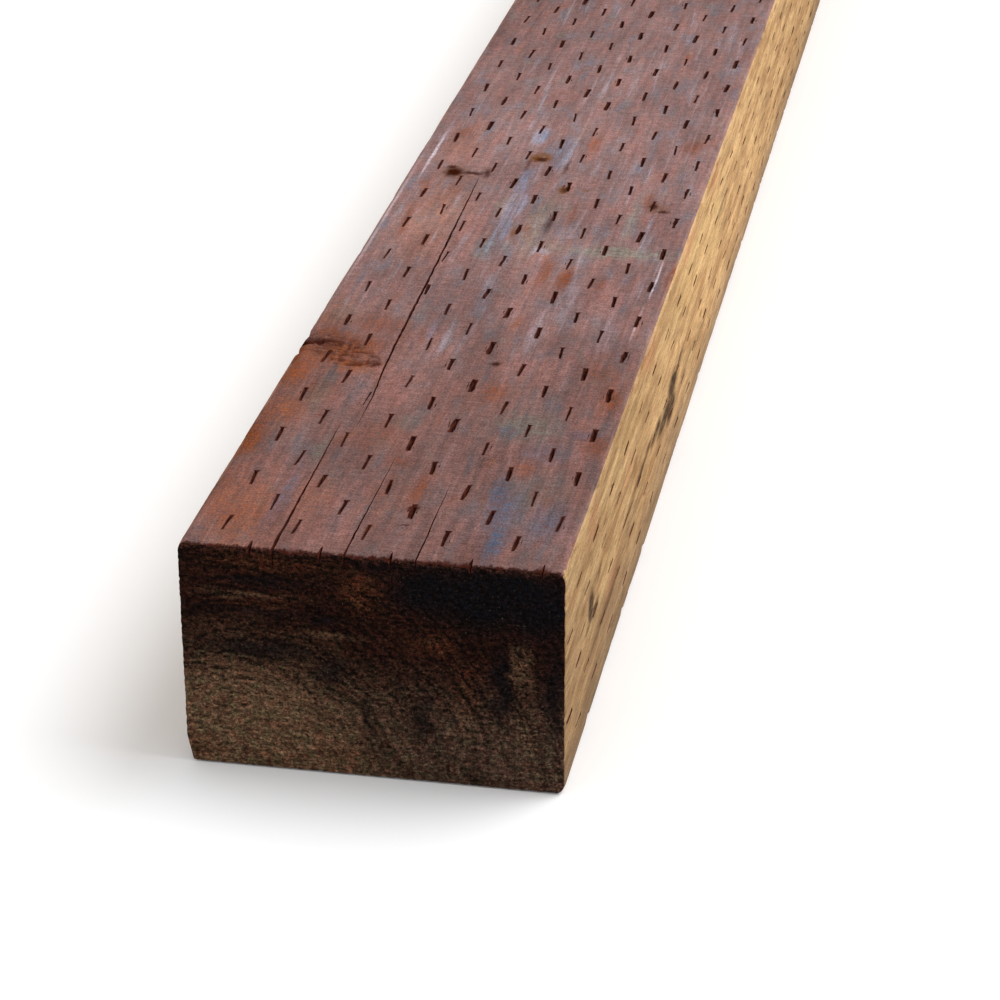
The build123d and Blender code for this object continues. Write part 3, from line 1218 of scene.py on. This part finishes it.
rosy_places = (
    (5, 205, 8, 30, 0.95, 0.7), (4, 330, 8, 36, 0.95, 0.6), (10, 62, 12, 26, 0.95, 0.45),
    (58, 110, 8, 28, 0.95, 0.5), (6, 420, 8, 26, 0.95, 0.6), (30, 150, 10, 24, 0.95, 0.35),
)
gold_places = (
    (18, 340, 22, 110, 0.95, 0.6), (30, 420, 26, 60, 0.95, 0.6), (14, 140, 14, 90, 0.95, 0.4),
)
# Clouds of stain: width, length, shift, threshold, softness and strength
toffee_clouds = (6.0, 26.0, 6.5, 0.5, 0.16, 0.6)
copper_clouds = (4.0, 20.0, 12.5, 0.55, 0.14, 0.5)
grey_clouds = (5.0, 40.0, 2.5, 0.58, 0.16, 0.55)
grain_lines = (1.3, 16.0, 9.5, 0.56, 0.12, 0.55)


def narrow_face(name, places, shift):
    """A paler narrow face: honey-coloured wood with brown grain lines and a grey foot."""
    coat = Coat(name, 0.03, 0.75)
    along = coat.where["along"]
    up = coat.where["up"]
    down = coat.minus(timber_height, up)
    grain = coat.grain(3.0, 40.0, shift)
    broad = coat.grain(8.0, 70.0, shift + 3)["Streak"]
    rings = coat.group(ring_effect, **coat.where, ring_width=4.6, waver=3.0)["Latewood"]
    ripple = coat.group(ripple_effect, across=down, along=along, pitch=1.6, shift=shift)["Ridge"]
    specks = coat.specks(down, along, 0.9, shift)

    coat.colour = coat.mix(coat.span(broad, 0.35, 0.65), tone(180, 141, 96), tone(206, 168, 119))
    coat.lay(tone(158, 116, 76), coat.clouds(toffee_clouds, shift))
    coat.lay(tone(176, 126, 84), coat.clouds(copper_clouds, shift))
    if places:
        coat.lay(tone(154, 122, 90), coat.patches(down, along, tan_places))
        coat.lay(tone(208, 172, 118), coat.patches(down, along, gold_places))
        rosy_down = coat.ragged(down, down, along, 7.7, (5.0, 20.0), 6.0)
        coat.lay(tone(190, 132, 94), coat.patches(rosy_down, along, rosy_places))
    coat.lay(tone(132, 94, 56), rings, coat.span(broad, 0.35, 0.6, 0.35, 0.05))
    foot = coat.span(coat.ragged(up, down, along, 4.4, (5.0, 30.0), 14.0), 26.0, 0.0)
    coat.lay(tone(128, 107, 86), foot, 0.75)
    coat.lay(tone(112, 90, 68), coat.clouds(grey_clouds, shift))
    coat.lay(tone(112, 79, 47), coat.clouds(grain_lines, shift))
    coat.vary(grain["Streak"], 0.8, 1.14)
    coat.vary(grain["Fibre"], 1.08, 0.82)
    if places:
        paler_on = coat.span(along, 0.0, 400.0, 0.8, 1.17)
        paler_on = coat.minus(paler_on, coat.span(along, 520.0, 900.0, 0.0, 0.14))
        coat.colour = coat.mix(1.0, coat.colour, paler_on, "MULTIPLY")
    coat.vary(specks["Speck"], 0.66, 1.26)
    if places:
        damp_down = coat.ragged(down, down, along, 3.3, (4.0, 16.0), 4.0)
        damp_along = coat.ragged(along, down, along, 1.3, (3.0, 9.0), 8.0)
        damp = coat.patches(damp_down, damp_along, damp_places)
        coat.lay(tone(56, 36, 22), damp, coat.span(grain["Fibre"], 0.3, 0.6, 0.6, 1.0))
    coat.lay(tone(104, 74, 46), coat.span(specks["Pore"], 0.6, 0.74, 0.0, 0.55))
    # Pale arrises: rubbed wood and painted highlight
    coat.lay(tone(222, 188, 146), coat.group(rub_and_highlight_effect, **coat.where)["Mask"], 0.45)
    frayed_along = coat.ragged(along, down, along, 3.9, (1.6, 3.0), 3.0)
    coat.lay(tone(84, 58, 38), coat.span(frayed_along, 1.6, 0.2, 0.0, 0.6))
    coat.lay(tone(98, 66, 36), coat.crushed(), 0.7)
    height = coat.plus(coat.times(ripple, 0.3), coat.times(grain["Fibre"], 0.8))
    return coat.finish(coat.plus(height, coat.times(specks["Speck"], 0.7)), 0.3 * MM)


def slit_wall(name):
    """Torn, shadowed wood inside the tooth marks and the checks."""
    coat = Coat(name, 0.05, 0.9)
    grain = coat.grain(1.0, 5.0, 3.0)
    coat.colour = coat.mix(coat.span(grain["Streak"], 0.35, 0.65), tone(44, 15, 11), tone(98, 48, 35))
    return coat.finish(grain["Fibre"], 0.4 * MM)


# Dark, warm and pale areas of the near end: across from the left edge, up from the underside
ink_places = (
    (92, 77, 22, 15, 0.75, 1.0), (110, 74, 26, 17, 0.75, 1.0), (130, 74, 20, 19, 0.75, 1.0),
    (118, 80, 34, 10, 0.6, 1.0), (117, 42, 5.0, 24, 0.7, 0.85), (136, 42, 6, 36, 0.9, 0.8),
    (104, 88, 40, 6, 0.8, 0.9), (53, 62, 7, 4, 0.8, 0.9), (72, 86, 14, 4, 0.9, 0.7),
    (89, 26, 5, 16, 0.9, 0.6), (30, 76, 30, 2.6, 0.9, 0.75), (26, 64, 34, 2.2, 0.9, 0.75),
    (28, 49, 34, 6, 0.9, 0.75), (55, 42, 10, 8, 0.9, 0.75), (68, 26, 4, 14, 0.9, 0.6),
)
warm_places = (
    (66, 74, 12, 12, 0.95, 0.9), (93, 56, 12, 6, 0.95, 0.9), (104, 40, 9, 16, 0.95, 0.5),
    (30, 83, 32, 6, 0.95, 0.6), (5, 6, 10, 9, 0.95, 0.7), (58, 8, 14, 7, 0.95, 0.5),
    (30, 66, 20, 5, 0.95, 0.5),
)
light_places = (
    (124, 50, 7, 14, 0.95, 0.8), (126, 24, 6, 14, 0.95, 0.5), (24, 70, 26, 2.5, 0.95, 0.6),
    (56, 56, 18, 2.5, 0.95, 0.6), (20, 18, 34, 26, 0.95, 0.6), (104, 26, 6, 18, 0.95, 0.4),
)
# Density of the growth rings from the pith outwards, as a radius in millimetres and a brightness
ring_bands = (
    (30, 1.0), (47, 0.95), (53, 0.72), (58, 0.5), (61, 0.55), (64, 0.86), (70, 0.8), (74, 0.58),
    (79, 0.72), (84, 0.9), (95, 0.72), (104, 0.88), (112, 0.66), (124, 0.86), (140, 0.7),
)
widest_ring = 160.0


def sawn_end(name, places, shift):
    """A sawn end: dark, treated end grain with speckled growth rings, saw lines, pores and pale specks."""
    coat = Coat(name, 0.03, 0.9)
    across = coat.where["across"]
    up = coat.where["up"]
    place = coat.plus(across, half_width)
    rings = coat.group(ring_effect, across=across, along=shift * 900.0, up=up, ring_width=3.7, waver=3.2)
    ragged_across = coat.ragged(place, place, up, 1.7 + shift, (6.0, 6.0), 12.0)
    ragged_up = coat.ragged(up, place, up, 6.1 + shift, (7.0, 5.0), 9.0)
    fine = coat.specks(place, up, 1.1, shift + 2.0)
    grit = coat.specks(place, up, 0.6, shift + 11.0)["Speck"]
    clumps = coat.specks(place, coat.times(up, 1.5), 2.3, shift + 15.0)
    coarse = coat.specks(place, up, 4.0, shift + 5.0)
    saw = coat.noise(coat.vector(coat.times(place, 0.05), coat.times(up, 0.9), shift + 9), 3.0, 0.65)
    round_pith = coat.calc("ARCTAN2", coat.plus(up, pith_down), coat.minus(place, pith_across))
    layer_at = coat.vector(coat.times(round_pith, 3.2), coat.times(rings["Radius"], 0.42), shift + 4)
    layers = coat.noise(layer_at, 4.0, 0.65)
    rim = coat.plus(rings["Radius"], coat.times(coat.minus(coarse["Speck"], 0.5), 16.0))

    outer = coat.mix(coat.span(ragged_up, 16.0, 54.0), tone(66, 53, 46), tone(34, 18, 14))
    coat.colour = coat.mix(coat.span(rim, 82.0, 30.0), outer, tone(78, 63, 51))
    bands = [(radius / widest_ring, (light, light, light, 1.0)) for radius, light in ring_bands]
    coat.colour = coat.mix(0.7, coat.colour, coat.ramp(coat.over(rim, widest_ring), bands), "MULTIPLY")
    coat.lay(tone(66, 39, 26), coat.patches(ragged_across, ragged_up, warm_places), 0.7)
    coat.lay(tone(80, 66, 53), coat.patches(ragged_across, ragged_up, light_places), 0.6)
    tints = [(0.34, tone(255, 206, 184)), (0.5, tone(250, 228, 210)), (0.64, tone(226, 238, 204))]
    coat.colour = coat.mix(0.8, coat.colour, coat.ramp(coarse["Pore"], tints), "MULTIPLY")
    coat.vary(saw, 0.74, 1.28)
    coat.vary(layers, 0.72, 1.3)
    coat.vary(coarse["Speck"], 0.7, 1.36)
    if places:
        ink = coat.patches(ragged_across, ragged_up, ink_places)
        coat.lay(tone(9, 8, 11), ink, coat.span(coarse["Speck"], 0.3, 0.46, 0.7, 1.0))
        frayed_up = coat.ragged(up, place, up, 2.3, (4.2, 2.0), 6.5)
        coat.lay(tone(56, 31, 24), coat.span(frayed_up, 85.8, 88.6, 0.0, 0.8))
    ringed = coat.plus(coat.times(clumps["Speck"], 0.6), coat.times(fine["Speck"], 0.4))
    ringed = coat.plus(ringed, coat.times(coat.minus(rings["Latewood"], 0.4), 0.05))
    ringed = coat.minus(ringed, coat.times(coat.minus(layers, 0.5), 0.32))
    ringed = coat.plus(ringed, coat.span(rim, 40.0, 66.0, -0.045, 0.005))
    coat.lay(tone(9, 5, 4), coat.span(ringed, 0.48, 0.58, 0.0, coat.span(ragged_up, 8.0, 46.0, 0.55, 0.92)))
    coat.vary(clumps["Pore"], 0.4, 1.9)
    coat.vary(fine["Pore"], 0.45, 1.8)
    coat.vary(grit, 0.55, 1.6)
    coat.lay(tone(118, 92, 70), coat.span(fine["Pore"], 0.64, 0.74, 0.0, 0.5))
    return coat.finish(coat.minus(coat.times(saw, 0.6), coat.times(ringed, 1.4)), 0.6 * MM)


for material in (
    wide_face("stained_top", True, True, 0.0),
    wide_face("stained_underside", False, False, 20.0),
    narrow_face("honey_right_side", True, 1.0),
    narrow_face("honey_left_side", False, 30.0),
    slit_wall("torn_slit"),
    sawn_end("dark_near_end", True, 0.0),
    sawn_end("dark_far_end", False, 3.0),
):
    mesh.materials.append(material)

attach(timber, "root")
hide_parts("timber")

# Pale floor, a hair below the timber
floor_half = 30.0
floor_drop = 0.0004
floor_mesh = bpy.data.meshes.new("pale_floor")
floor_corners = [(x * floor_half, y * floor_half, 0) for x, y in ((-1, -1), (1, -1), (1, 1), (-1, 1))]
floor_mesh.from_pydata(floor_corners, [], [(0, 1, 2, 3)])
floor = bpy.data.objects.new("pale_floor", floor_mesh)
bpy.context.scene.collection.objects.link(floor)
floor.location.z = -floor_drop
floor_paint = bpy.data.materials.new("floor_paint")
floor_paint.use_nodes = True
floor_shader = floor_paint.node_tree.nodes["Principled BSDF"]
floor_shader.inputs["Base Color"].default_value = (0.94, 0.94, 0.94, 1)
floor_shader.inputs["Specular IOR Level"].default_value = 0.0
floor_shader.inputs["Roughness"].default_value = 0.9
floor_mesh.materials.append(floor_paint)

# One broad soft light from the upper right
lamp = bpy.data.lights.new("high_light", "SUN")
lamp.energy = 2.05
lamp.angle = math.radians(41)
lamp_heading = Vector((-2.4, -1.1, -3.8))
lamp_item = bpy.data.objects.new("high_light", lamp)
lamp_item.rotation_euler = lamp_heading.to_track_quat("-Z", "Y").to_euler()
bpy.context.scene.collection.objects.link(lamp_item)

# White surroundings, which light the timber less than they show
world = bpy.data.worlds.new("white_room")
bpy.context.scene.world = world
world.use_nodes = True
room = Nodes(world.node_tree)
room.tree.nodes.clear()
lit, seen = [room.new("ShaderNodeBackground") for _ in range(2)]
for background, strength in ((lit, 0.74), (seen, 1.0)):
    background.inputs["Color"].default_value = (1, 1, 1, 1)
    background.inputs["Strength"].default_value = strength
by_camera = room.new("ShaderNodeLightPath").outputs["Is Camera Ray"]
shown = room.fill(room.new("ShaderNodeMixShader"), (by_camera, lit.outputs[0], seen.outputs[0]))
room.feed(room.new("ShaderNodeOutputWorld").inputs["Surface"], shown)

# The camera stands in front of the near end, above it and to the right
camera_place = Vector((0.22776, -2.18365, 0.58987))
camera_heading = Vector((-0.16616, 0.88474, -0.43547))
camera_roll = math.radians(-0.186)
camera_data = bpy.data.cameras.new("camera")
camera_data.sensor_width = 36.0
camera_data.lens = 114.24
camera_data.clip_end = 100.0
camera = bpy.data.objects.new("camera", camera_data)
camera.matrix_world = (
    Matrix.Translation(camera_place)
    @ camera_heading.to_track_quat("-Z", "Y").to_matrix().to_4x4()
    @ Matrix.Rotation(camera_roll, 4, "Z")
)
bpy.context.scene.collection.objects.link(camera)
bpy.context.scene.camera = camera
bpy.context.scene.view_settings.view_transform = "Standard"
